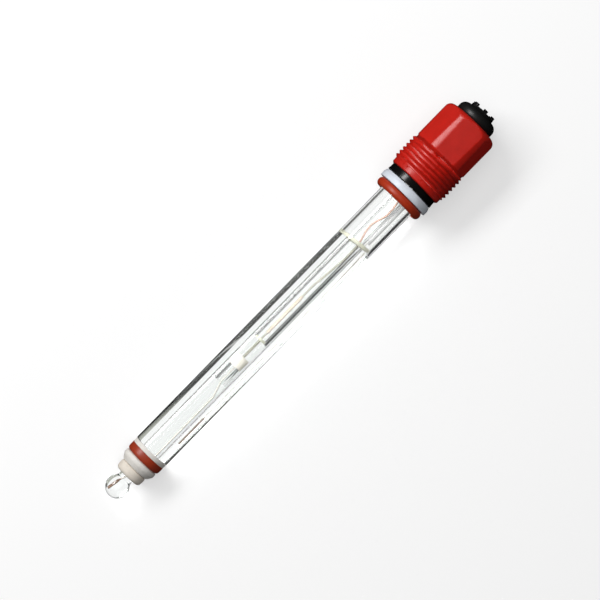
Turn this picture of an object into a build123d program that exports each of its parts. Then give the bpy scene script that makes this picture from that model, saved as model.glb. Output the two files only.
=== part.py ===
from build123d import *
import os
from math import acos, atan2, ceil, cos, degrees, radians, sin, sqrt, tan

# A combination electrode for pH and ORP with a 12 mm glass shaft and a plug-in head.
# Sizes are in millimetres. Heights run along the shaft, from the tip of the bulb up to
# the connector. The electrode lies on a table, on its head thread and on the band at its tip.

os.makedirs("parts", exist_ok=True)

# Glass shaft
shaft_radius = 6.0
shaft_wall = 1.0
shaft_length = 122.7
shaft_edge_round = 0.3

# Inner tube with the membrane bulb, blown as one piece
bulb_radius = 3.6
bulb_wall = 0.35
stem_radius = 2.3
stem_wall = 0.45
stem_set_back = 1.4
neck_round = 0.6

# Pieces stacked at the tip, from the bulb upwards
sleeve_base = 7.8
sleeve_height = 3.2
sleeve_width = 2.2
sleeve_taper = 0.2
sleeve_edge_round = 0.9
lower_ring_height = 3.1
lower_ring_width = 3.4
lower_ring_cone = 1.6
lower_ring_cone_width = 2.4
lower_ring_groove = 0.7
band_height = 2.6
band_set_back = 0.05
band_edge_round = 0.7
upper_ring_height = 1.4
upper_ring_set_back = 0.1
upper_ring_edge_round = 0.2

# Measuring element and its filling, inside the inner tube
element_tube_base = 46.9
element_tube_length = 10.0
element_tube_radius = 1.66
element_tube_wall = 0.38
element_plug_height = 3.8
stem_seal_rise = 6.8
stem_seal_height = 0.8
lead_radius = 0.3
lead_bend = 3.0
lead_waves = [(0, 0.68), (1.0, 0.585), (1.1, 0.54), (-0.35, 0.463), (-0.1, 0.424), (1.1, 0.355), (1.15, 0.26), (0, 0.07)]
lead_sleeve_rise = 2.4
lead_sleeve_length = 14.7
lead_sleeve_wall = 0.18
silver_wire_radius = 0.2
silver_wall_gap = 0.3
silver_bend = 2.0
silver_entry = 0.25
silver_run_out = 4.5
silver_run_base = 12.0
chloride_tilt = 0.5
chloride_top = 4.8
chloride_base = 1.9
chloride_radius = 0.32

# Reference side, between the inner tube and the shaft
gel_seal_drop = 37.4
gel_seal_thickness = 1.15
gel_seal_slope = 6.5
reference_offset = 2.75
reference_depth = -1.95
reference_lead_radius = 0.95
reference_lead_rise = 2.6
reference_wire_base = 25.4
reference_wire_radius = 0.15
reference_wire_offset = 3.75
reference_wire_depth = 2.5
reference_bend = 2.0
reference_bend_top = 2.5
reference_bend_base = 12.0
reference_chloride_length = 10.6
reference_chloride_radius = 0.28

# Rings on the shaft under the head
o_ring_width = 2.2
o_ring_height = 2.7
collar_height = 2.6
collar_width = 2.7
collar_edge_width = 0.4
collar_edge_height = 1.0
backing_height = 2.1
backing_width = 2.25
backing_flare = 0.15
ring_play = 0.25

# Plug head
head_grip = 12.3
lead_in_height = 1.8
thread_height = 8.45
thread_radius = 9.7
thread_pitch = 1.411
thread_depth = 0.65
thread_root_width = 0.12
thread_flank_angle = 40.0
thread_groove_over = 0.1
thread_chamfer = 0.45
neck_radius = 9.0
neck_height = 0.65
neck_edge_round = 0.4
hex_across_flats = 17.0
hex_height = 13.8
hex_turn = 8.4
hex_blank_radius = 9.25
hex_top_round = 2.0
hex_base_chamfer = 0.35
head_bore_depth = 12.5
potting_height = 4.0
potting_shoulder = 0.7

# Connector in the head
insert_radius = 5.8
flange_radius = 6.55
flange_height = 3.4
flange_edge_round = 2.2
rim_radius = 4.05
rim_height = 0.8
tab_count = 6
tab_height = 0.75
tab_width = 1.35
tab_turn = 7.0
socket_radius = 3.2
socket_depth = 9.2
ring_contact_wall = 0.3
ring_contact_step = 1.0
contact_pin_radius = 0.6
contact_pin_step = 2.2
contact_pin_tip = 0.25
contact_tail_radius = 0.35
contact_tail_reach = 0.3
insulator_height = 1.5

# Hidden stopper that keeps the inner tube central in the shaft
stopper_height = 5.0
stopper_depth = 8.0

# Clearances: radial for round fits, straight for faces
bond_gap = 0.03
running_gap = 0.06
face_gap = 0.05
head_bore_gap = 0.1

# Heights and radii that follow from the sizes above
sleeve_top = sleeve_base + sleeve_height
band_base = sleeve_top + lower_ring_height
band_top = band_base + band_height
shaft_base = band_top + upper_ring_height
shaft_top = shaft_base + shaft_length
shaft_bore = shaft_radius - shaft_wall
stem_bore = stem_radius - stem_wall
stem_top = shaft_top - stem_set_back
stem_fit = stem_radius + bond_gap
ring_bore = shaft_radius + running_gap
head_base = shaft_top - head_grip
thread_base = head_base + lead_in_height
thread_top = thread_base + thread_height
hex_base = thread_top + neck_height
head_top = hex_base + hex_height
head_bore_top = head_base + head_bore_depth
head_bore = shaft_radius + head_bore_gap
insert_base = head_bore_top + potting_height
flange_top = head_top + face_gap + flange_height
rim_top = flange_top + rim_height
tab_top = rim_top + tab_height
socket_floor = tab_top - socket_depth
band_radius = shaft_radius - band_set_back
contact_tail_base = insert_base - contact_tail_reach
stopper_base = shaft_top - stopper_depth
stopper_top = stopper_base + stopper_height
element_tube_top = element_tube_base + element_tube_length
element_plug_base = element_tube_top - element_plug_height
stem_seal_base = element_tube_top + stem_seal_rise
lead_sleeve_base = stem_seal_base + stem_seal_height + lead_sleeve_rise
gel_seal_height = shaft_top - gel_seal_drop
reference_lead_stop = gel_seal_height + reference_lead_rise

# The resting pose: the axis rises towards the head by the slope between the two places
# that touch the table, and the middle of the electrode's length is over the origin
table_contact_low = band_base + band_edge_round
table_contact_high = thread_base + thread_chamfer
slope = atan2(thread_radius - band_radius, table_contact_high - table_contact_low)
tip_z = band_radius * cos(slope) - table_contact_low * sin(slope)
tip_y = -(tab_top * cos(slope) + rim_radius * sin(slope) - bulb_radius * (1 - cos(slope))) / 2

# The section plane holds the axis: its X points to the side and its Y along the axis
section = Plane(origin=(0, tip_y, tip_z), x_dir=(1, 0, 0), z_dir=(0, -sin(slope), cos(slope)))
shaft_axis = Axis(section.origin, section.y_dir)


def across(height, side=0.0, depth=0.0):
    """The plane square to the axis at a height, with its origin off the axis if asked."""
    return Plane(
        origin=section.from_local_coords((side, height, depth)),
        x_dir=section.x_dir,
        z_dir=section.y_dir,
    )


def box_profile(inner, outer, low, high):
    """A rectangle from one radius to another between two heights, drawn on the section plane."""
    with Locations(((inner + outer) / 2, (low + high) / 2)):
        Rectangle(outer - inner, high - low)


def corner(sketch, side, height):
    """The corner of a section that lies nearest to a side offset and a height."""
    return sketch.vertices().sort_by_distance((side, height))[0]


def rod(radius, low, high, side=0.0, depth=0.0):
    """A round bar along the axis between two heights."""
    with BuildPart() as bar:
        with BuildSketch(across(low, side, depth)):
            Circle(radius)
        extrude(amount=high - low)
    return bar.part


def wire(points, radius, bend, plane=section):
    """A round wire along straight runs with tangent bends, drawn on a plane along the axis."""
    with BuildPart() as bent_bar:
        with BuildLine(plane) as route:
            FilletPolyline(*points, radius=bend)
        with BuildSketch(Plane(route.line ^ 0)):
            Circle(radius)
        sweep(path=route.line)
    return bent_bar.part


def straight_wire(start, end, radius):
    """A round bar between two places given as side offset and height."""
    with BuildPart() as bar:
        with BuildLine(section) as run:
            Line(start, end)
        with BuildSketch(Plane(run.line ^ 0)):
            Circle(radius)
        sweep(path=run.line)
    return bar.part


def drill(radius, low, high, side=0.0, depth=0.0):
    """Cuts a round hole along the axis between two heights in the part being built."""
    add(rod(radius, low, high, side, depth), mode=Mode.SUBTRACT)


def keep(builder, name):
    """Names a finished piece and writes it."""
    builder.part.label = name
    export_step(builder.part, f"parts/{name}.step")


# Routes of the wires, as side offset and height
lead_top = contact_tail_base - face_gap
lead_free_run = lead_top - lead_sleeve_base - lead_sleeve_length
lead_route = [
    (0, lead_top),
    *[(side, lead_top - (1 - share) * lead_free_run) for side, share in lead_waves],
    (0, element_tube_top + face_gap),
]
silver_side = stem_bore - silver_wire_radius - silver_wall_gap
silver_route = [
    (silver_entry, element_plug_base - face_gap),
    (silver_entry, element_tube_base),
    (silver_side, element_tube_base - silver_run_out),
    (silver_side, silver_run_base),
    (-silver_entry, 2 * bulb_radius),
    (-silver_entry - chloride_tilt, chloride_top),
]
chloride_end = (-silver_entry - 2 * chloride_tilt, chloride_base)
reference_step = (reference_wire_offset - reference_offset, 0, reference_wire_depth - reference_depth)
reference_route = [
    (0, reference_lead_stop - face_gap),
    (0, gel_seal_height - reference_bend_top),
    (Vector(reference_step).length, gel_seal_height - reference_bend_base),
    (Vector(reference_step).length, reference_wire_base + reference_chloride_length),
]
reference_plane = Plane(
    origin=section.from_local_coords((reference_offset, 0, reference_depth)),
    x_dir=section.from_local_coords(reference_step) - section.origin,
    z_dir=(section.from_local_coords(reference_step) - section.origin).cross(section.y_dir),
)

# Membrane stem: the inner tube with its bulb
with BuildPart() as membrane_stem:
    inner_bulb = bulb_radius - bulb_wall
    outer_rise = degrees(acos(stem_radius / bulb_radius))
    inner_rise = degrees(acos(stem_bore / inner_bulb))
    neck_outer = bulb_radius + sqrt(bulb_radius**2 - stem_radius**2)
    neck_inner = bulb_radius + sqrt(inner_bulb**2 - stem_bore**2)
    with BuildSketch(section) as stem_section:
        with BuildLine():
            CenterArc((0, bulb_radius), bulb_radius, -90, 90 + outer_rise)
            Line((stem_radius, neck_outer), (stem_radius, stem_top))
            Line((stem_radius, stem_top), (stem_bore, stem_top))
            Line((stem_bore, stem_top), (stem_bore, neck_inner))
            CenterArc((0, bulb_radius), inner_bulb, inner_rise, -90 - inner_rise)
            Line((0, bulb_wall), (0, 0))
        make_face()
        fillet(corner(stem_section, stem_radius, neck_outer), radius=neck_round)
    revolve(axis=shaft_axis)
keep(membrane_stem, "membrane_stem")

# Tip sleeve under the lower junction ring
with BuildPart() as tip_sleeve:
    outer = stem_radius + sleeve_width
    with BuildSketch(section) as sleeve_section:
        with BuildLine():
            Polyline(
                (stem_fit, sleeve_base),
                (outer - sleeve_taper, sleeve_base),
                (outer, sleeve_top),
                (stem_fit, sleeve_top),
                close=True,
            )
        make_face()
        fillet(corner(sleeve_section, outer - sleeve_taper, sleeve_base), radius=sleeve_edge_round)
    revolve(axis=shaft_axis)
keep(tip_sleeve, "tip_sleeve")

# Lower junction ring: a cone under a straight rim, with a small step to the band
with BuildPart() as lower_junction_ring:
    rim = stem_radius + lower_ring_width
    with BuildSketch(section):
        with BuildLine():
            Polyline(
                (stem_fit, sleeve_top),
                (stem_radius + lower_ring_cone_width, sleeve_top),
                (rim, sleeve_top + lower_ring_cone),
                (rim, band_base - lower_ring_groove / 2),
                (rim - lower_ring_groove, band_base),
                (stem_fit, band_base),
                close=True,
            )
        make_face()
    revolve(axis=shaft_axis)
keep(lower_junction_ring, "lower_junction_ring")

# Elastic band between the junction rings
with BuildPart() as tip_band:
    with BuildSketch(section) as band_section:
        box_profile(stem_fit, band_radius, band_base, band_top)
        fillet(corner(band_section, band_radius, band_base), radius=band_edge_round)
    revolve(axis=shaft_axis)
keep(tip_band, "tip_band")

# Upper junction ring, which closes the end of the shaft
with BuildPart() as upper_junction_ring:
    outer = shaft_radius - upper_ring_set_back
    with BuildSketch(section) as ring_section:
        box_profile(stem_fit, outer, band_top, shaft_base)
        fillet(corner(ring_section, outer, band_top), radius=upper_ring_edge_round)
    revolve(axis=shaft_axis)
keep(upper_junction_ring, "upper_junction_ring")

# Glass shaft
with BuildPart() as glass_shaft:
    with BuildSketch(section) as shaft_section:
        box_profile(shaft_bore, shaft_radius, shaft_base, shaft_top)
        fillet(shaft_section.vertices(), radius=shaft_edge_round)
    revolve(axis=shaft_axis)
keep(glass_shaft, "glass_shaft")

# Element tube, a short open glass tube round the measuring element
with BuildPart() as element_tube:
    with BuildSketch(section):
        box_profile(
            element_tube_radius - element_tube_wall, element_tube_radius, element_tube_base, element_tube_top
        )
    revolve(axis=shaft_axis)
keep(element_tube, "element_tube")

# Plug in the upper end of the element tube
with BuildPart() as element_plug:
    with BuildSketch(section):
        box_profile(0, element_tube_radius - element_tube_wall - bond_gap, element_plug_base, element_tube_top)
    revolve(axis=shaft_axis)
keep(element_plug, "element_plug")

# Silver wire from the plug down into the bulb, with its chloride-coated end
with BuildPart() as bulb_wire:
    add(wire(silver_route, silver_wire_radius, silver_bend))
    add(straight_wire(silver_route[-1], chloride_end, chloride_radius))
keep(bulb_wire, "bulb_wire")

# Seal that closes the filling in the inner tube
with BuildPart() as stem_seal:
    with BuildSketch(section):
        box_profile(
            lead_radius + bond_gap, stem_bore - bond_gap, stem_seal_base, stem_seal_base + stem_seal_height
        )
    revolve(axis=shaft_axis)
keep(stem_seal, "stem_seal")

# Inner lead, from the centre contact down to the plug
with BuildPart() as inner_lead:
    add(wire(lead_route, lead_radius, lead_bend))
keep(inner_lead, "inner_lead")

# Sleeve on the straight part of the inner lead
with BuildPart() as lead_sleeve:
    inner = lead_radius + bond_gap
    with BuildSketch(section):
        box_profile(inner, inner + lead_sleeve_wall, lead_sleeve_base, lead_sleeve_base + lead_sleeve_length)
    revolve(axis=shaft_axis)
keep(lead_sleeve, "lead_sleeve")

# Buffer filling of the bulb and the inner tube, up to the stem seal
with BuildPart() as buffer_fill:
    fill_bulb = bulb_radius - bulb_wall - bond_gap
    fill_radius = stem_bore - bond_gap
    fill_rise = degrees(acos(fill_radius / fill_bulb))
    fill_neck = bulb_radius + sqrt(fill_bulb**2 - fill_radius**2)
    with BuildSketch(section):
        with BuildLine():
            CenterArc((0, bulb_radius), fill_bulb, -90, 90 + fill_rise)
            Line((fill_radius, fill_neck), (fill_radius, stem_seal_base))
            Line((fill_radius, stem_seal_base), (0, stem_seal_base))
            Line((0, stem_seal_base), (0, bulb_radius - fill_bulb))
        make_face()
    revolve(axis=shaft_axis)
    drill(element_tube_radius + bond_gap, element_tube_base - bond_gap, element_tube_top + bond_gap)
    drill(lead_radius + bond_gap, element_tube_top, stem_seal_base)
    add(wire(silver_route, silver_wire_radius + bond_gap, silver_bend), mode=Mode.SUBTRACT)
    add(straight_wire(silver_route[-1], chloride_end, chloride_radius + bond_gap), mode=Mode.SUBTRACT)
keep(buffer_fill, "buffer_fill")

# Slanted seal that lies on the reference gel
slant = tan(radians(gel_seal_slope))
seal_reach = shaft_radius
with BuildPart() as gel_seal:
    with BuildSketch(section):
        with BuildLine():
            Polyline(
                (-seal_reach, gel_seal_height - seal_reach * slant),
                (seal_reach, gel_seal_height + seal_reach * slant),
                (seal_reach, gel_seal_height + gel_seal_thickness + seal_reach * slant),
                (-seal_reach, gel_seal_height + gel_seal_thickness - seal_reach * slant),
                close=True,
            )
        make_face()
    extrude(amount=seal_reach, both=True)
    with BuildSketch(across(gel_seal_height - seal_reach)):
        Circle(shaft_bore - bond_gap)
        Circle(stem_fit, mode=Mode.SUBTRACT)
    extrude(amount=2 * seal_reach, mode=Mode.INTERSECT)
    drill(
        reference_wire_radius + bond_gap,
        gel_seal_height - seal_reach,
        gel_seal_height + seal_reach,
        reference_offset,
        reference_depth,
    )
keep(gel_seal, "gel_seal")

# Reference gel between the inner tube and the shaft, up to the slanted seal
with BuildPart() as electrolyte_gel:
    with BuildSketch(section):
        with BuildLine():
            Polyline(
                (-seal_reach, shaft_base),
                (seal_reach, shaft_base),
                (seal_reach, gel_seal_height + seal_reach * slant),
                (-seal_reach, gel_seal_height - seal_reach * slant),
                close=True,
            )
        make_face()
    extrude(amount=seal_reach, both=True)
    with BuildSketch(across(shaft_base)):
        Circle(shaft_bore - bond_gap)
        Circle(stem_fit, mode=Mode.SUBTRACT)
    extrude(amount=gel_seal_height + seal_reach - shaft_base, mode=Mode.INTERSECT)
    add(
        wire(reference_route, reference_wire_radius + bond_gap, reference_bend, reference_plane),
        mode=Mode.SUBTRACT,
    )
    drill(
        reference_chloride_radius + bond_gap,
        reference_wire_base - bond_gap,
        reference_wire_base + reference_chloride_length + bond_gap,
        reference_wire_offset,
        reference_wire_depth,
    )
keep(electrolyte_gel, "electrolyte_gel")

# Reference wire, silver, with its brown chloride-coated end in the gel
with BuildPart() as reference_wire:
    add(wire(reference_route, reference_wire_radius, reference_bend, reference_plane))
    add(
        rod(
            reference_chloride_radius,
            reference_wire_base,
            reference_wire_base + reference_chloride_length,
            reference_wire_offset,
            reference_wire_depth,
        )
    )
keep(reference_wire, "reference_wire")

# Reference lead, insulated, from the ring contact down to the reference wire
with BuildPart() as reference_lead:
    with BuildSketch(across(reference_lead_stop, reference_offset, reference_depth)):
        Circle(reference_lead_radius)
    extrude(amount=contact_tail_base - face_gap - reference_lead_stop)
keep(reference_lead, "reference_lead")

# Stopper in the upper end of the shaft
with BuildPart() as shaft_stopper:
    with BuildSketch(section):
        box_profile(stem_fit, shaft_bore - bond_gap, stopper_base, stopper_top)
    revolve(axis=shaft_axis)
    drill(reference_lead_radius + bond_gap, stopper_base, stopper_top, reference_offset, reference_depth)
keep(shaft_stopper, "shaft_stopper")

# Potting that bonds the shaft, the inner tube and the leads into the head
with BuildPart() as head_potting:
    cavity = head_bore - potting_shoulder - bond_gap
    with BuildSketch(section):
        with BuildLine():
            Polyline(
                (0, stopper_top),
                (shaft_bore - bond_gap, stopper_top),
                (shaft_bore - bond_gap, shaft_top + bond_gap),
                (cavity, shaft_top + bond_gap),
                (cavity, insert_base),
                (0, insert_base),
                close=True,
            )
        make_face()
    revolve(axis=shaft_axis)
    drill(stem_fit, stopper_top, stem_top)
    drill(lead_radius + bond_gap, stem_top, contact_tail_base)
    drill(contact_pin_radius + bond_gap, contact_tail_base - face_gap, insert_base)
    drill(
        reference_lead_radius + bond_gap, stopper_top, contact_tail_base, reference_offset, reference_depth
    )
    drill(
        contact_tail_radius + bond_gap, contact_tail_base - face_gap, insert_base, reference_offset, reference_depth
    )
keep(head_potting, "head_potting")

# Threaded barrel of the head, cut one turn of the groove at a time, in its own upright frame
with BuildPart() as threaded_barrel:
    groove_outer = thread_radius + thread_groove_over
    groove_half_root = thread_root_width / 2
    groove_half_mouth = groove_half_root + tan(radians(thread_flank_angle)) * (thread_depth + thread_groove_over)
    with BuildSketch(Plane.XY.offset(thread_base)):
        Circle(thread_radius)
    extrude(amount=thread_height)
    for turn in range(ceil(thread_height / thread_pitch) + 1):
        turn_start = thread_base + (turn - 0.5) * thread_pitch
        with BuildLine(Plane.XY.offset(turn_start)) as helix:
            Helix(pitch=thread_pitch, height=thread_pitch, radius=thread_radius)
        with BuildSketch(Plane.XZ):
            with BuildLine():
                Polyline(
                    (thread_radius - thread_depth, turn_start - groove_half_root),
                    (groove_outer, turn_start - groove_half_mouth),
                    (groove_outer, turn_start + groove_half_mouth),
                    (thread_radius - thread_depth, turn_start + groove_half_root),
                    close=True,
                )
            make_face()
        sweep(path=helix.line, is_frenet=True, mode=Mode.SUBTRACT)
    with BuildSketch(Plane.XZ) as barrel_section:
        box_profile(0, thread_radius, thread_base, thread_top)
        chamfer(corner(barrel_section, thread_radius, thread_base), thread_chamfer)
        chamfer(corner(barrel_section, thread_radius, thread_top), thread_chamfer)
    revolve(axis=Axis.Z, mode=Mode.INTERSECT)

# Plug head: hexagon, threaded barrel and the stepped bore for the shaft and the connector
with BuildPart() as plug_head:
    with BuildSketch(across(hex_base)):
        RegularPolygon(hex_across_flats / 2, 6, major_radius=False, rotation=hex_turn)
    extrude(amount=hex_height)
    with BuildSketch(section) as blank_section:
        box_profile(0, hex_blank_radius, hex_base, head_top)
        fillet(corner(blank_section, hex_blank_radius, head_top), radius=hex_top_round)
        chamfer(corner(blank_section, hex_blank_radius, hex_base), hex_base_chamfer)
    revolve(axis=shaft_axis, mode=Mode.INTERSECT)
    with BuildSketch(section) as neck_section:
        box_profile(0, neck_radius, head_base, hex_base)
        chamfer(corner(neck_section, neck_radius, head_base), neck_edge_round)
    revolve(axis=shaft_axis)
    add(threaded_barrel.part.moved(across(0).location))
    drill(head_bore, head_base, head_bore_top)
    drill(head_bore - potting_shoulder, head_bore_top, insert_base)
    drill(insert_radius + bond_gap, insert_base, head_top)
keep(plug_head, "plug_head")

# Connector insert: spigot, flange and the slotted rim round the socket
with BuildPart() as connector_insert:
    with BuildSketch(section) as insert_section:
        with BuildLine():
            Polyline(
                (0, insert_base),
                (insert_radius, insert_base),
                (insert_radius, head_top + face_gap),
                (flange_radius, head_top + face_gap),
                (flange_radius, flange_top),
                (rim_radius, flange_top),
                (rim_radius, rim_top),
                (0, rim_top),
                close=True,
            )
        make_face()
        fillet(corner(insert_section, flange_radius, flange_top), radius=flange_edge_round)
    revolve(axis=shaft_axis)
    with BuildSketch(across(rim_top)):
        with PolarLocations((rim_radius + socket_radius) / 2, tab_count, start_angle=tab_turn - 90):
            Rectangle(2 * (rim_radius - socket_radius), tab_width)
        Circle(rim_radius, mode=Mode.INTERSECT)
    extrude(amount=tab_height)
    drill(socket_radius, socket_floor, tab_top)
    drill(contact_pin_radius + bond_gap, insert_base, socket_floor)
    drill(contact_tail_radius + bond_gap, insert_base, socket_floor, reference_offset, reference_depth)
keep(connector_insert, "connector_insert")

# Ring contact: a metal sleeve in the socket with its solder tail
with BuildPart() as ring_contact:
    sleeve_outer = socket_radius - bond_gap
    with BuildSketch(section):
        box_profile(
            sleeve_outer - ring_contact_wall, sleeve_outer, socket_floor, rim_top - ring_contact_step
        )
    revolve(axis=shaft_axis)
    with BuildSketch(across(contact_tail_base, reference_offset, reference_depth)):
        Circle(contact_tail_radius)
    extrude(amount=socket_floor - contact_tail_base)
keep(ring_contact, "ring_contact")

# Insulator on the floor of the socket
with BuildPart() as contact_insulator:
    with BuildSketch(section):
        box_profile(
            contact_pin_radius + bond_gap,
            socket_radius - 2 * bond_gap - ring_contact_wall,
            socket_floor,
            socket_floor + insulator_height,
        )
    revolve(axis=shaft_axis)
keep(contact_insulator, "contact_insulator")

# Centre contact: the pin in the socket, down to the inner lead
with BuildPart() as centre_contact:
    pin_top = rim_top - contact_pin_step
    with BuildSketch(section) as pin_section:
        box_profile(0, contact_pin_radius, contact_tail_base, pin_top)
        chamfer(corner(pin_section, contact_pin_radius, pin_top), contact_pin_tip)
    revolve(axis=shaft_axis)
keep(centre_contact, "centre_contact")

# Backing ring under the head, flared a little towards the collar
backing_top = head_base - face_gap
backing_base = backing_top - backing_height
with BuildPart() as backing_ring:
    with BuildSketch(section):
        with BuildLine():
            Polyline(
                (ring_bore, backing_base),
                (ring_bore + backing_width + backing_flare, backing_base),
                (ring_bore + backing_width, backing_base + backing_height / 2),
                (ring_bore + backing_width, backing_top),
                (ring_bore, backing_top),
                close=True,
            )
        make_face()
    revolve(axis=shaft_axis)
keep(backing_ring, "backing_ring")

# Thrust collar, with its upper edge sloped
collar_top = backing_base - ring_play
collar_base = collar_top - collar_height
with BuildPart() as thrust_collar:
    outer = ring_bore + collar_width
    with BuildSketch(section):
        with BuildLine():
            Polyline(
                (ring_bore, collar_base),
                (outer, collar_base),
                (outer, collar_top - collar_edge_height),
                (outer - collar_edge_width, collar_top),
                (ring_bore, collar_top),
                close=True,
            )
        make_face()
    revolve(axis=shaft_axis)
keep(thrust_collar, "thrust_collar")

# Process O-ring under the collar, its section a little oval
o_ring_centre = collar_base - face_gap - o_ring_height / 2
with BuildPart() as process_o_ring:
    with BuildSketch(section):
        with Locations((ring_bore + o_ring_width / 2, o_ring_centre)):
            Ellipse(o_ring_width / 2, o_ring_height / 2)
    revolve(axis=shaft_axis)
keep(process_o_ring, "process_o_ring")
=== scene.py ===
from math import cos, pi, radians, sin

import bpy
from mathutils import Matrix, Vector


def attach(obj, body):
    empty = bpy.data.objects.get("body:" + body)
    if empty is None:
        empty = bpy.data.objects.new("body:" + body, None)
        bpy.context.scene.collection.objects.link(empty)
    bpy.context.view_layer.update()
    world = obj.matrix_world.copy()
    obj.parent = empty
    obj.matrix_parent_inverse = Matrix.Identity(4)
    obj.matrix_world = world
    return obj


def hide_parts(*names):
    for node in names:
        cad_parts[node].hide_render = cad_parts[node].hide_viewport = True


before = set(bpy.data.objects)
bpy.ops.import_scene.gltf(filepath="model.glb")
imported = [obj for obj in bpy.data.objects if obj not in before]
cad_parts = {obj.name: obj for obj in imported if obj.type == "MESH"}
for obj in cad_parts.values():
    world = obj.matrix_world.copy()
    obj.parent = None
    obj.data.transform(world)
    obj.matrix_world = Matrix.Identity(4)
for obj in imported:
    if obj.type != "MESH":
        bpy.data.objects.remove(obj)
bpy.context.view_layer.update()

# Everything is modelled upright, in millimetres along the axis from the bulb's tip, and then
# laid on the table in the pose of the solid model
MM = 0.001
SLOPE = radians(1.85239)
TIP = Vector((0.0, -79.1232, 5.4685)) * MM
LYING = Matrix.Translation(TIP) @ Matrix.Rotation(SLOPE - pi / 2, 4, "X")

# Corners of a round piece, and the smallest radius that an outline is given
ROUND = 128
POLE = 0.001

# Radii, with the bores of what sits on the inner tube and on the shaft
SHAFT, SHAFT_BORE = 6.0, 5.0
STEM, STEM_BORE, STEM_FLARE = 2.3, 1.85, 2.38
ON_STEM = STEM + 0.03
ON_SHAFT = SHAFT + 0.06
BULB, BULB_BORE = 3.6, 3.25
ELEMENT, ELEMENT_BORE = 1.66, 1.28
SLEEVE_FOOT, SLEEVE_MIDDLE, SLEEVE = 4.3, 4.47, 4.5
CONE, LOWER_RING, RING_NECK = 4.7, 5.7, 5.0
BAND_FOOT, BAND_SHOULDER, BAND_MIDDLE, BAND, BAND_HEAD = 5.3, 5.78, 5.92, 5.95, 5.93
UPPER_RING = 5.9
SEAL, SEAL_FOOT, SEAL_HEAD, SEAL_DISH = 4.95, 4.9, 4.75, STEM + 0.4
COLLAR, COLLAR_HEAD = 8.76, 8.36
BACKING_LIP, BACKING = 8.46, 8.31

# Steps of the outlines, up from a ring's base or down from its top
SLEEVE_STEP = 1.5
CONE_STEP, NECK_STEP = 1.6, 0.35
SHOULDER_STEP, MIDDLE_STEP, BAND_STEP = 0.35, 0.9, 1.5
COLLAR_STEP = 1.0
LIP_STEP = 1.05

# Heights
FLARE_BASE, STEM_NECK, BORE_NECK = 6.45, 6.9, 6.6
SLEEVE_BASE, SLEEVE_TOP = 7.8, 11.0
BAND_BASE, BAND_TOP = 14.1, 16.7
SHAFT_BASE, SHAFT_TOP = 18.1, 140.8
STEM_TOP = 139.4
ELEMENT_BASE, PLUG_BASE, ELEMENT_TOP = 46.9, 53.1, 56.9
STEM_FILL = 63.7
GEL_SEAL = 103.4
O_RING = 122.1
COLLAR_BASE, COLLAR_TOP = 123.5, 126.1
BACKING_BASE, BACKING_TOP = 126.35, 128.45
SILVER_COAT, REFERENCE_COAT = 5.6, 36.0

# Half the width and half the height of the oval sealing ring
O_RING_WIDE, O_RING_HIGH = 1.1, 1.35

# Slant of the seal on the gel, which lies lower on the left
SEAL_SLANT = radians(6.5)

# Refraction of glass in air, and of glass in gel or buffer
GLASS_IN_AIR = 1.5
GLASS_IN_GEL = 1.5 / 1.34


class Field:
    """A number that varies over a surface, written like arithmetic."""

    def __init__(self, nodes, socket):
        self.nodes = nodes
        self.socket = socket

    def math(self, operation, first, second):
        return self.nodes.node("ShaderNodeMath", {"operation": operation}, {0: first, 1: second})

    def __add__(self, other):
        return self.math("ADD", self, other)

    __radd__ = __add__

    def __sub__(self, other):
        return self.math("SUBTRACT", self, other)

    def __rsub__(self, other):
        return self.math("SUBTRACT", other, self)

    def __mul__(self, other):
        return self.math("MULTIPLY", self, other)

    __rmul__ = __mul__

    def __lt__(self, other):
        return self.math("LESS_THAN", self, other)

    def or_more(self, other):
        """The larger of two numbers."""
        return self.math("MAXIMUM", self, other)

    def clamped(self):
        return self.nodes.node("ShaderNodeClamp", {}, {0: self})


class Nodes:
    """The nodes of a material or of the world."""

    def __init__(self, owner):
        owner.use_nodes = True
        self.tree = owner.node_tree

    def join(self, socket, value):
        """Gives a socket a constant or a link."""
        if isinstance(value, Field):
            value = value.socket
        if isinstance(value, bpy.types.NodeSocket):
            self.tree.links.new(value, socket)
        else:
            socket.default_value = value

    def node(self, kind, settings, inputs, output=0):
        """Adds a node, gives it its settings, then its inputs, and returns one output, if it has any."""
        node = self.tree.nodes.new(kind)
        for setting, value in settings.items():
            setattr(node, setting, value)
        for socket, value in inputs.items():
            self.join(node.inputs[socket], value)
        if node.outputs:
            return Field(self, node.outputs[output])
        return None


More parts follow.
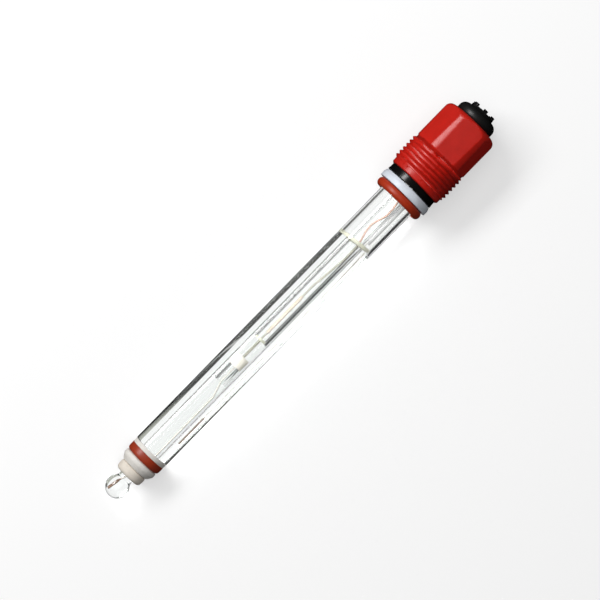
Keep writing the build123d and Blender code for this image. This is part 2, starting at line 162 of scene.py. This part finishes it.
class Finish(Nodes):
    """A material with one principled shader, and the nodes that vary it over the surface."""

    def __init__(self, name, color, roughness, constants=None):
        self.material = bpy.data.materials.new(name)
        super().__init__(self.material)
        self.shader = self.tree.nodes["Principled BSDF"]
        self.set("Base Color", (*color, 1.0))
        self.set("Roughness", roughness)
        for socket, value in (constants or {}).items():
            self.set(socket, value)
        self.place = self.node("ShaderNodeTexCoord", {}, {}, "Object")

    def set(self, socket, value):
        """Gives one of the shader's sockets a constant or a link."""
        self.join(self.shader.inputs[socket], value)

    def along(self, axis):
        """The place on the object along X, Y or Z, in metres."""
        return self.node("ShaderNodeSeparateXYZ", {}, {0: self.place}, axis)

    def noise(self, size_mm, detail=3.0, stretch=(1.0, 1.0, 1.0)):
        """Cloudy noise about its middle, from -0.5 to 0.5, with spots of a given size."""
        mapping = self.node("ShaderNodeMapping", {}, {"Vector": self.place, "Scale": stretch})
        inputs = {"Vector": mapping, "Scale": 1000 / size_mm, "Detail": detail}
        return self.node("ShaderNodeTexNoise", {}, inputs) - 0.5

    def shades(self, amount, dark, light):
        """Mixes two colours by a number from 0 to 1."""
        mix = self.node("ShaderNodeMix", {"data_type": "RGBA"}, {"Factor": amount}, 2)
        inputs = mix.socket.node.inputs
        self.join(inputs[6], (*dark, 1.0) if isinstance(dark, tuple) else dark)
        self.join(inputs[7], (*light, 1.0) if isinstance(light, tuple) else light)
        return mix

    def clouded(self, cloud, color, range_of_tone):
        """A colour that a cloud makes darker and lighter by a share of itself."""
        dark = tinted(color, 1 - range_of_tone)
        light = tinted(color, 1 + range_of_tone)
        return self.shades((cloud + 0.5).clamped(), dark, light)

    def bump(self, height, depth_mm, strength=1.0):
        """Raises the surface by a height field, at most by a depth."""
        inputs = {"Height": height, "Distance": depth_mm * MM, "Strength": strength}
        self.set("Normal", self.node("ShaderNodeBump", {}, inputs))


def tinted(color, factor):
    """A colour made lighter or darker."""
    return tuple(min(1.0, part * factor) for part in color)


def moulded(name, color, roughness, grain_mm=0.25, depth_mm=0.012):
    """Moulded plastic or rubber: cloudy colour, uneven gloss and a fine grain."""
    cloud_mm, tone = 2.2, 0.14
    patch_mm, unevenness = 0.9, 0.16
    finish = Finish(name, color, roughness)
    finish.set("Base Color", finish.clouded(finish.noise(cloud_mm), color, tone))
    finish.set("Roughness", (finish.noise(patch_mm) * unevenness + roughness).clamped())
    finish.bump(finish.noise(grain_mm, 2.0), depth_mm, 0.6)
    return finish


def glass(name, refraction):
    """Clear glass against one neighbour, with faint drawing waves along the tube."""
    wave_mm, wave_depth_mm, drawn_out = 2.5, 0.006, (1.0, 0.08, 1.0)
    finish = Finish(name, (0.985, 0.992, 0.988), 0.0, {"Transmission Weight": 1.0, "IOR": refraction})
    finish.bump(finish.noise(wave_mm, 1.0, drawn_out), wave_depth_mm, 0.5)
    return finish


def filling(name, color, alpha):
    """A clear filling, which only tints what lies behind it."""
    cloud_mm, unevenness = 5.0, 0.6
    finish = Finish(name, color, 0.15, {"Specular IOR Level": 0.0})
    finish.set("Alpha", (finish.noise(cloud_mm) * (alpha * unevenness) + alpha).clamped())
    return finish


def drawn_wire(name, color, roughness, coated_below_mm=None, coat=None):
    """Drawn metal wire, with fine lines along it and, if asked, a dull coated end."""
    line_mm, line_depth_mm, drawn_out, line_tone = 0.12, 0.01, (1.0, 0.05, 1.0), 0.2
    edge_mm, raggedness_mm = 0.5, 0.8
    crust_mm, crust_tone, crust_dullness = 0.15, 0.3, 0.4
    finish = Finish(name, color, roughness, {"Metallic": 1.0})
    lines = finish.noise(line_mm, 2.0, drawn_out)
    tone = finish.clouded(lines, color, line_tone)
    if coat:
        edge = TIP.y + coated_below_mm * MM * cos(SLOPE)
        coated = finish.along(1) + finish.noise(edge_mm) * (raggedness_mm * MM) < edge
        tone = finish.shades(coated, tone, finish.clouded(finish.noise(crust_mm), coat, crust_tone))
        finish.set("Metallic", 1 - coated)
        finish.set("Roughness", coated * crust_dullness + roughness)
    finish.set("Base Color", tone)
    finish.bump(lines, line_depth_mm, 0.5)
    return finish


def porous(name, color, pore_mm, roughness=0.75):
    """A matt porous or fibrous body with small pores, each painted darker inside as painted shade."""
    pore_depth_mm, pore_width, pore_painted_shade = 0.03, 2.2, 0.78
    cloud_mm, cloud_tone = 1.4, 0.1
    finish = Finish(name, color, roughness)
    spots = {"Vector": finish.place, "Scale": 1000 / pore_mm}
    pores = finish.node("ShaderNodeTexVoronoi", {"feature": "F1"}, spots, "Distance")
    level = (pores * pore_width).clamped()
    toned = finish.clouded(finish.noise(cloud_mm), color, cloud_tone)
    # The pores sink in the bump, and their darker colour is painted shade
    finish.set("Base Color", finish.shades(level, tinted(color, pore_painted_shade), toned))
    finish.bump(level, pore_depth_mm, 0.5)
    return finish


red_plastic = moulded("red_plastic", (0.55, 0.0135, 0.007), 0.34)
black_plastic = moulded("black_plastic", (0.0095, 0.0095, 0.0095), 0.4)
black_gloss = moulded("black_gloss", (0.0045, 0.0045, 0.0045), 0.24, depth_mm=0.006)
collar_white = moulded("collar_white", (0.70, 0.75, 0.82), 0.36)
orange_rubber = moulded("orange_rubber", (0.42, 0.033, 0.007), 0.4, grain_mm=0.4)
band_rubber = moulded("band_rubber", (0.34, 0.037, 0.011), 0.38, grain_mm=0.4)
stopper_clear = moulded("stopper_clear", (0.78, 0.79, 0.76), 0.3)
potting_resin = moulded("potting_resin", (0.02, 0.02, 0.022), 0.3)
insulator_white = moulded("insulator_white", (0.78, 0.77, 0.74), 0.45)
olive_sealant = moulded("olive_sealant", (0.43, 0.43, 0.34), 0.45, grain_mm=0.6, depth_mm=0.06)
tan_insulation = moulded("tan_insulation", (0.45, 0.38, 0.31), 0.45)
grey_insulation = moulded("grey_insulation", (0.42, 0.42, 0.42), 0.4)
junction_white = porous("junction_white", (0.80, 0.77, 0.72), 0.12)
sleeve_cream = porous("sleeve_cream", (0.78, 0.71, 0.62), 0.2)
plug_beige = porous("plug_beige", (0.70, 0.66, 0.59), 0.3)
copper_wire = drawn_wire("copper_wire", (0.42, 0.25, 0.19), 0.42, GEL_SEAL, (0.3, 0.29, 0.24))
silver_wire = drawn_wire("silver_wire", (0.55, 0.52, 0.48), 0.4, SILVER_COAT, (0.13, 0.075, 0.05))
reference_brown = (0.22, 0.17, 0.13)
reference_silver = drawn_wire("reference_silver", (0.6, 0.58, 0.54), 0.38, REFERENCE_COAT, reference_brown)
gilt_contact = drawn_wire("gilt_contact", (0.83, 0.6, 0.28), 0.3)
glass_in_air = glass("glass_in_air", GLASS_IN_AIR)
glass_in_gel = glass("glass_in_gel", GLASS_IN_GEL)
reference_gel = filling("reference_gel", (0.86, 0.9, 0.86), 0.004)
buffer_solution = filling("buffer_solution", (0.88, 0.92, 0.9), 0.004)


def deselect():
    if bpy.context.object and bpy.context.object.mode != "OBJECT":
        bpy.ops.object.mode_set(mode="OBJECT")
    bpy.ops.object.select_all(action="DESELECT")


def choose(piece):
    """Makes one object the selected and active one."""
    deselect()
    piece.select_set(True)
    bpy.context.view_layer.objects.active = piece


def turned(name, outline):
    """A piece turned about the axis: a circle extruded from ring to ring, between its poles."""
    rings = [(max(radius, POLE), height) for radius, height in outline]
    radius, height = rings[0]
    deselect()
    bpy.ops.mesh.primitive_circle_add(vertices=ROUND, radius=radius * MM, location=(0, 0, height * MM))
    piece = bpy.context.object
    piece.name = name
    bpy.ops.object.transform_apply(location=True, rotation=False, scale=False)
    bpy.ops.object.mode_set(mode="EDIT")
    bpy.ops.mesh.select_all(action="SELECT")
    for next_radius, next_height in rings[1:]:
        rise = (next_height - height) * MM
        bpy.ops.mesh.extrude_region_move(TRANSFORM_OT_translate={"value": (0, 0, rise)})
        grow = next_radius / radius
        bpy.ops.transform.resize(value=(grow, grow, 1), center_override=(0, 0, next_height * MM))
        radius, height = next_radius, next_height
    bpy.ops.mesh.select_all(action="SELECT")
    bpy.ops.mesh.remove_doubles(threshold=0.003 * MM)
    bpy.ops.mesh.normals_make_consistent(inside=False)
    bpy.ops.object.mode_set(mode="OBJECT")
    return piece


def turned_ring(name, outline):
    """A turned piece with a bore, whose outline closes on its first point."""
    return turned(name, outline + outline[:1])


def eased(piece, width_mm, segments=3, angle=25):
    """Rounds the piece's edges."""
    choose(piece)
    bevel = piece.modifiers.new("eased edges", "BEVEL")
    bevel.width = width_mm * MM
    bevel.segments = segments
    bevel.limit_method = "ANGLE"
    bevel.angle_limit = radians(angle)
    bpy.ops.object.modifier_apply(modifier=bevel.name)


def settle(piece, finish, body, node):
    """Gives a piece its finish and body, and makes it stand for a solid."""
    piece.data.materials.clear()
    piece.data.materials.append(finish.material)
    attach(piece, body)
    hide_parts(node)


def finished(piece, finish, body, node, angle=40):
    """Lays a piece down, smooths it and settles it."""
    choose(piece)
    piece.matrix_world = LYING
    bpy.ops.object.transform_apply(location=True, rotation=True, scale=True)
    bpy.ops.object.shade_smooth_by_angle(angle=radians(angle))
    settle(piece, finish, body, node)


def second_finish(piece, finish, is_there):
    """Gives another finish to the faces whose height, and side towards or off the axis, pass a test."""
    piece.data.materials.append(finish.material)
    index = len(piece.data.materials) - 1
    upright = LYING.inverted()
    for face in piece.data.polygons:
        place = upright @ face.center / MM
        inward = (upright.to_3x3() @ face.normal).dot(Vector((place.x, place.y, 0))) < 0
        if is_there(place.z, inward):
            face.material_index = index


def smooth_copy(node, name, finish, body):
    """A copy of a solid's mesh with its vertices joined, so that its round faces shade smoothly."""
    piece = bpy.data.objects.new(name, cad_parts[node].data.copy())
    bpy.context.scene.collection.objects.link(piece)
    choose(piece)
    bpy.ops.object.mode_set(mode="EDIT")
    bpy.ops.mesh.select_all(action="SELECT")
    bpy.ops.mesh.remove_doubles(threshold=0.0002 * MM)
    bpy.ops.object.mode_set(mode="OBJECT")
    bpy.ops.object.shade_smooth_by_angle(angle=radians(35))
    flats = piece.modifiers.new("crisp flats", "WEIGHTED_NORMAL")
    flats.weight = 100
    flats.keep_sharp = True
    bpy.ops.object.modifier_apply(modifier=flats.name)
    settle(piece, finish, body, node)


def arc(radius, height, wide, high, degrees):
    """Rings along an oval arc about a point of the outline, at angles from the side."""
    return [(radius + wide * cos(radians(a)), height + high * sin(radians(a))) for a in degrees]


# Glass shaft: open tube, with the gel against its bore up to the slanted seal
shaft = turned_ring(
    "shaft_tube",
    [
        (SHAFT_BORE, SHAFT_BASE),
        (SHAFT, SHAFT_BASE),
        (SHAFT, GEL_SEAL),
        (SHAFT, SHAFT_TOP),
        (SHAFT_BORE, SHAFT_TOP),
        (SHAFT_BORE, GEL_SEAL),
    ],
)
eased(shaft, 0.3, 4)
finished(shaft, glass_in_air, "electrode", "glass_shaft")
second_finish(shaft, glass_in_gel, lambda height, inward: inward and height < GEL_SEAL)

# Inner tube blown out into the membrane bulb
stem = turned(
    "inner_tube",
    [
        *arc(0.0, BULB, BULB, BULB, range(-90, 48, 6)),
        (STEM_FLARE, FLARE_BASE),
        (STEM, STEM_NECK),
        (STEM, SHAFT_BASE),
        (STEM, GEL_SEAL),
        (STEM, STEM_TOP),
        (STEM_BORE, STEM_TOP),
        (STEM_BORE, STEM_FILL),
        (STEM_BORE, SHAFT_BASE),
        (STEM_BORE, BORE_NECK),
        *arc(0.0, BULB, BULB_BORE, BULB_BORE, range(48, -96, -6)),
    ],
)
finished(stem, glass_in_air, "electrode", "membrane_stem", angle=60)
second_finish(
    stem,
    glass_in_gel,
    lambda height, inward: height < STEM_FILL if inward else SHAFT_BASE < height < GEL_SEAL,
)

# Short glass tube round the measuring element, with the plug's colour where the plug fills it
element = turned_ring(
    "element_glass",
    [
        (ELEMENT_BORE, ELEMENT_BASE),
        (ELEMENT, ELEMENT_BASE),
        (ELEMENT, PLUG_BASE),
        (ELEMENT, ELEMENT_TOP),
        (ELEMENT_BORE, ELEMENT_TOP),
        (ELEMENT_BORE, PLUG_BASE),
    ],
)
eased(element, 0.08, 2)
finished(element, glass_in_air, "electrode", "element_tube")
second_finish(element, glass_in_gel, lambda height, inward: not inward)
second_finish(element, plug_beige, lambda height, inward: height > PLUG_BASE)

# Rings at the tip
sleeve = turned_ring(
    "sleeve",
    [
        (ON_STEM, SLEEVE_BASE),
        (SLEEVE_FOOT, SLEEVE_BASE),
        (SLEEVE_MIDDLE, SLEEVE_BASE + SLEEVE_STEP),
        (SLEEVE, SLEEVE_TOP),
        (ON_STEM, SLEEVE_TOP),
    ],
)
eased(sleeve, 0.85, 6)
finished(sleeve, sleeve_cream, "electrode", "tip_sleeve")

lower_ring = turned_ring(
    "junction_lower",
    [
        (ON_STEM, SLEEVE_TOP),
        (CONE, SLEEVE_TOP),
        (LOWER_RING, SLEEVE_TOP + CONE_STEP),
        (LOWER_RING, BAND_BASE - NECK_STEP),
        (RING_NECK, BAND_BASE),
        (ON_STEM, BAND_BASE),
    ],
)
eased(lower_ring, 0.16)
finished(lower_ring, junction_white, "electrode", "lower_junction_ring")

band = turned_ring(
    "elastic_band",
    [
        (ON_STEM, BAND_BASE),
        (BAND_FOOT, BAND_BASE),
        (BAND_SHOULDER, BAND_BASE + SHOULDER_STEP),
        (BAND_MIDDLE, BAND_BASE + MIDDLE_STEP),
        (BAND, BAND_BASE + BAND_STEP),
        (BAND_HEAD, BAND_TOP),
        (ON_STEM, BAND_TOP),
    ],
)
eased(band, 0.12)
finished(band, band_rubber, "electrode", "tip_band")

upper_ring = turned_ring(
    "junction_upper",
    [(ON_STEM, BAND_TOP), (UPPER_RING, BAND_TOP), (UPPER_RING, SHAFT_BASE), (ON_STEM, SHAFT_BASE)],
)
eased(upper_ring, 0.15)
finished(upper_ring, junction_white, "electrode", "upper_junction_ring")

# Slanted seal on the gel, dished round the inner tube
seal = turned_ring(
    "gel_cap",
    [
        (ON_STEM, 0.0),
        (SEAL_FOOT, 0.0),
        (SEAL, 0.25),
        (SEAL, 1.2),
        (SEAL_HEAD, 1.1),
        (SEAL_DISH, 1.0),
        (ON_STEM, 1.25),
    ],
)
choose(seal)
seal.rotation_euler = (0, -SEAL_SLANT, 0)
seal.location = (0, 0, GEL_SEAL * MM)
bpy.ops.object.transform_apply(location=True, rotation=True, scale=False)
eased(seal, 0.2)
finished(seal, olive_sealant, "electrode", "gel_seal")

# Rings under the head
o_ring_outline = arc(ON_SHAFT + O_RING_WIDE, O_RING, O_RING_WIDE, O_RING_HIGH, range(-180, 189, 9))
o_ring = turned("sealing_ring", o_ring_outline)
finished(o_ring, orange_rubber, "seal_set", "process_o_ring", angle=60)

collar = turned_ring(
    "collar",
    [
        (ON_SHAFT, COLLAR_BASE),
        (COLLAR, COLLAR_BASE),
        (COLLAR, COLLAR_TOP - COLLAR_STEP),
        (COLLAR_HEAD, COLLAR_TOP),
        (ON_SHAFT, COLLAR_TOP),
    ],
)
eased(collar, 0.2, 4, 15)
finished(collar, collar_white, "collar", "thrust_collar")

backing = turned_ring(
    "backing",
    [
        (ON_SHAFT, BACKING_BASE),
        (BACKING_LIP, BACKING_BASE),
        (BACKING, BACKING_BASE + LIP_STEP),
        (BACKING, BACKING_TOP),
        (ON_SHAFT, BACKING_TOP),
    ],
)
eased(backing, 0.12)
finished(backing, black_gloss, "seal_set", "backing_ring")

# Head and connector keep the shapes of their solids
smooth_copy("plug_head", "head", red_plastic, "electrode")
smooth_copy("connector_insert", "connector", black_plastic, "electrode")

# Pieces whose solids are right as they are
for node, finish in {
    "inner_lead": copper_wire,
    "lead_sleeve": tan_insulation,
    "bulb_wire": silver_wire,
    "reference_wire": reference_silver,
    "reference_lead": grey_insulation,
    "element_plug": plug_beige,
    "stem_seal": olive_sealant,
    "electrolyte_gel": reference_gel,
    "buffer_fill": buffer_solution,
    "shaft_stopper": stopper_clear,
    "head_potting": potting_resin,
    "ring_contact": gilt_contact,
    "centre_contact": gilt_contact,
    "contact_insulator": insulator_white,
}.items():
    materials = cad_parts[node].data.materials
    materials.clear()
    materials.append(finish.material)

# Glass and fillings let the light through to what lies behind them
for clear in (shaft, stem, element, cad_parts["electrolyte_gel"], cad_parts["buffer_fill"]):
    clear.visible_shadow = False


def grey(level):
    return (level, level, level, 1)


def stage_surface(owner, output, build):
    """Replaces the nodes of a material or of the world by what a function builds."""
    nodes = Nodes(owner)
    nodes.tree.nodes.clear()
    nodes.node(output, {}, {"Surface": build(nodes)})


def seen_directly(nodes):
    """One for rays from the camera, a mirror or glass, and zero for the light that falls on things."""
    from_camera = nodes.node("ShaderNodeLightPath", {}, {}, "Is Camera Ray")
    from_mirror = nodes.node("ShaderNodeLightPath", {}, {}, "Is Glossy Ray")
    through_glass = nodes.node("ShaderNodeLightPath", {}, {}, "Is Transmission Ray")
    return from_camera.or_more(from_mirror).or_more(through_glass)


def white_floor(nodes):
    """White to the eye, with the object's shadow, and dim for the light that it sends back."""
    matt = nodes.node("ShaderNodeBsdfDiffuse", {}, {"Color": grey(0.5)})
    glow = nodes.node("ShaderNodeEmission", {}, {"Strength": 0.52})
    seen = nodes.node("ShaderNodeAddShader", {}, {0: matt, 1: glow})
    dim = nodes.node("ShaderNodeBsdfDiffuse", {}, {"Color": grey(0.25)})
    return nodes.node("ShaderNodeMixShader", {}, {"Fac": seen_directly(nodes), 1: dim, 2: seen})


def white_world(nodes):
    """White to the eye, and a faint room light."""
    room = nodes.node("ShaderNodeBackground", {}, {"Color": grey(1), "Strength": 0.08})
    white = nodes.node("ShaderNodeBackground", {}, {"Color": grey(1), "Strength": 1.0})
    return nodes.node("ShaderNodeMixShader", {}, {"Fac": seen_directly(nodes), 1: room, 2: white})


def black_card(nodes):
    return nodes.node("ShaderNodeBsdfDiffuse", {}, {"Color": grey(0.01)})


def table_light():
    """A glowing board seen only through glass: white under the tube, with painted shade that shows as the
    dark edges of thick or filled glass.
    """
    white, black = (1.0, 1.0, 1.0), (0.008, 0.008, 0.008)
    lower_grey, right_grey = (0.42, 0.43, 0.38), (0.13, 0.13, 0.125)
    middle, spread, middle_height = 0.0873, 1.27, 80.3
    fade_base, fade_length = 46, 12
    seal_height = 102.5
    break_height, break_narrowness, break_level = 70.3, 0.6, 0.5
    dark_side, dark_crispness = 0.07, 150
    grey_side, grey_crispness = -0.085, 60
    glow_only = {"Specular IOR Level": 0.0, "Emission Strength": 1.0}
    light = Finish("light_table", (0.0, 0.0, 0.0), 1.0, glow_only)
    side = light.along(0)
    height = (light.along(1) - TIP.y - middle) * (1000 / spread) + middle_height
    upper = ((height - fade_base) * (1 / fade_length)).clamped()
    under_seal = (seal_height - height).clamped()
    from_break = (height - break_height) * break_narrowness
    broken = (1 - from_break * from_break).clamped()
    # Painted shade for the glass's dark edges: on one side black towards the head and grey lower down,
    # paler at one height and ending at the seal; on the other side grey
    dark = light.shades(upper, lower_grey, black)
    dark = light.shades(broken * break_level, dark, white)
    tone = light.shades(((side - dark_side) * dark_crispness).clamped() * under_seal, white, dark)
    tone = light.shades(((grey_side - side) * grey_crispness).clamped(), tone, right_grey)
    light.set("Emission Color", tone)
    return light.material


def stage_piece(name, material, directly=False, in_mirrors=False, through_glass=False):
    """Names the new primitive, gives it a material, and says how it can be seen."""
    piece = bpy.context.object
    piece.name = name
    piece.data.materials.append(material)
    piece.visible_camera = directly
    piece.visible_diffuse = directly
    piece.visible_shadow = directly
    piece.visible_glossy = in_mirrors
    piece.visible_transmission = through_glass


floor_white = bpy.data.materials.new("floor_white")
stage_surface(floor_white, "ShaderNodeOutputMaterial", white_floor)
deselect()
bpy.ops.mesh.primitive_plane_add(size=4, location=(0, 0, 0))
stage_piece("floor", floor_white, directly=True)

# Board under the floor, seen only through glass, carrying the painted shade of the glass's dark edges
deselect()
bpy.ops.mesh.primitive_plane_add(size=1.2, location=(0, 0, -0.15))
stage_piece("light_table", table_light(), through_glass=True)

room_black = bpy.data.materials.new("room_black")
stage_surface(room_black, "ShaderNodeOutputMaterial", black_card)
deselect()
bpy.ops.mesh.primitive_ico_sphere_add(subdivisions=4, radius=1.4, location=(0, 0, 0))
stage_piece("dark_room", room_black, in_mirrors=True)

world = bpy.context.scene.world or bpy.data.worlds.new("studio")
bpy.context.scene.world = world
stage_surface(world, "ShaderNodeOutputWorld", white_world)

# The camera looks square to the axis, turned so that the head points up to the right
across = Vector((1, 0, 0))
along = Vector((0, cos(SLOPE), sin(SLOPE)))
toward = across.cross(along)
TURN = radians(44.34)
right = across * cos(TURN) + along * sin(TURN)
up = along * cos(TURN) - across * sin(TURN)

# The photo is 600 pixels wide, with 3.4 to the millimetre, about a point beside the axis
DISTANCE = 0.8
FIELD = 600 / 3.4 * MM
VIEW_SIDE, VIEW_HEIGHT = 0.15, 80.34
target = TIP + across * VIEW_SIDE * MM + along * VIEW_HEIGHT * MM


def placed(data, x, y, z, place):
    """Puts a camera or a lamp at a place, looking back along z."""
    thing = bpy.data.objects.new(data.name, data)
    bpy.context.scene.collection.objects.link(thing)
    thing.matrix_world = Matrix.Translation(place) @ Matrix((x, y, z)).transposed().to_4x4()
    return thing


camera_data = bpy.data.cameras.new("camera")
camera_data.lens = camera_data.sensor_width * DISTANCE / FIELD
bpy.context.scene.camera = placed(camera_data, right, up, toward, target + toward * DISTANCE)


def softbox(name, side_angle, lean, distance, width, length, level):
    """A lamp at an angle to the camera's line about the shaft, level 1 lighting white as white."""
    lamp_data = bpy.data.lights.new(name, "AREA")
    lamp_data.shape = "RECTANGLE"
    lamp_data.size = width
    lamp_data.size_y = length
    lamp_data.energy = level * (pi * distance) ** 2
    angle = radians(side_angle)
    out = (toward * cos(angle) - across * sin(angle)) * cos(radians(lean)) + along * sin(radians(lean))
    side = along.cross(out).normalized()
    return placed(lamp_data, side, out.cross(side), out, target + out * distance)


softbox("key", side_angle=45, lean=0, distance=0.6, width=0.15, length=0.5, level=0.8)
fill = softbox("fill", side_angle=4, lean=8, distance=0.9, width=0.8, length=0.9, level=0.42)
fill.visible_glossy = False

bpy.context.scene.view_settings.view_transform = "Standard"
